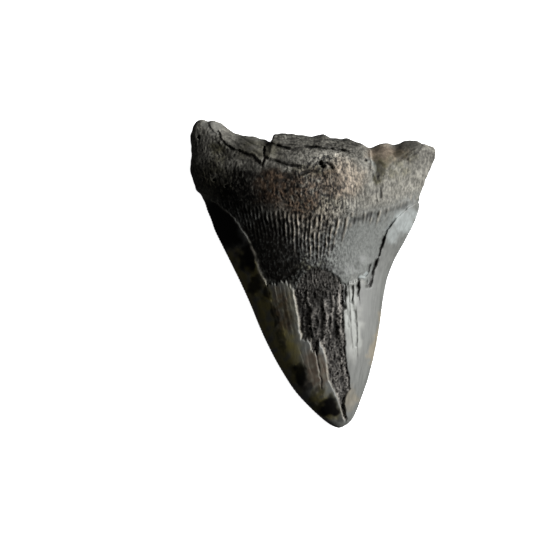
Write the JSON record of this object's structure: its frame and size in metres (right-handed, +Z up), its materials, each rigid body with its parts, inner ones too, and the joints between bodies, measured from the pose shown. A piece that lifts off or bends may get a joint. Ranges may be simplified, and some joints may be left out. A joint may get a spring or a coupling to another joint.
{
  "type": "fossil megalodon tooth",
  "caption": "Fossil megalodon tooth with worn root, striated collar and broken enamel, lying flat on its labial face for display",
  "frame": {"origin": "middle of the bounding box in plan, on the surface that the tooth lies on", "axes": "+Z up out of the lingual face, +Y towards the root, -Y towards the tip, +X towards the right lobe as seen from above with the root at the top"},
  "size_m": [0.0949, 0.12, 0.0264],
  "materials": {
    "fossil_tooth": "satin"
  },
  "bodies": {
    "root": {"tooth": "fossil_tooth"}
  },
  "joints": []
}
